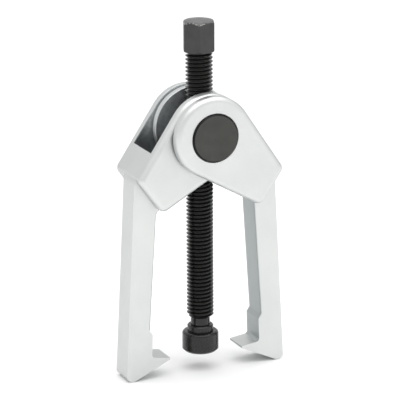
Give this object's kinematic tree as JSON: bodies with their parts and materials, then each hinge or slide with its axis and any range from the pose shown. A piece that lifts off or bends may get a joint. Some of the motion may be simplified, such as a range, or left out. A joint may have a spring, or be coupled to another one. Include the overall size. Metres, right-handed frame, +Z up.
{
  "type": "gear puller",
  "caption": "Two-arm forged puller: a hex-head forcing screw runs through a threaded cross pin on which two claw arms pivot, with a swivel pressure pad at its tip.",
  "frame": {"origin": "on the screw axis, level with the lowest line of the two feet at rest", "axes": "+Z up along the forcing screw towards its hexagon, +Y along the cross pin, +X towards the right arm"},
  "size_m": [0.1012, 0.0472, 0.2095],
  "materials": {
    "plated_steel": "satin nickel-chrome plate over a forged surface",
    "black_pin": "black oxide, turned",
    "black_screw": "oiled black oxide, rolled thread",
    "black_pad": "black oxide, turned",
    "bearing_steel": "polished",
    "spring_steel": "phosphated spring wire"
  },
  "bodies": {
    "yoke": {"cross_pin": "black_pin"},
    "left_arm": {"left_arm": "plated_steel"},
    "right_arm": {"right_arm": "plated_steel"},
    "swivel": {"thrust_ball": "bearing_steel", "pad_retaining_ring": "spring_steel"},
    "screw": {"forcing_screw": "black_screw"},
    "pad": {"pressure_pad": "black_pad"}
  },
  "joints": [
    {"name": "left_arm_swing", "type": "hinge", "parent": "yoke", "child": "left_arm", "pos_m": [0, 0, 0.14519], "axis": [0, 1, 0], "range_deg": [-4.5, 70]},
    {"name": "right_arm_swing", "type": "hinge", "parent": "yoke", "child": "right_arm", "pos_m": [0, 0, 0.14519], "axis": [0, -1, 0], "range_deg": [-4.5, 70]},
    {"name": "screw_feed", "type": "slide", "parent": "yoke", "child": "swivel", "axis": [0, 0, 1], "range_m": [-0.018, 0.07]},
    {"name": "screw_turn", "type": "hinge", "parent": "swivel", "child": "screw", "pos_m": [0, 0, 0.14519], "axis": [0, 0, 1], "range_deg": [-2860, 10970]},
    {"name": "pad_swivel", "type": "hinge", "parent": "swivel", "child": "pad", "pos_m": [0, 0, 0.01519], "axis": [0, 0, 1], "continuous": true}
  ],
  "couplings": [
    {"joint": "screw_turn", "follows": "screw_feed", "rad_per_m": 2721.1}
  ]
}
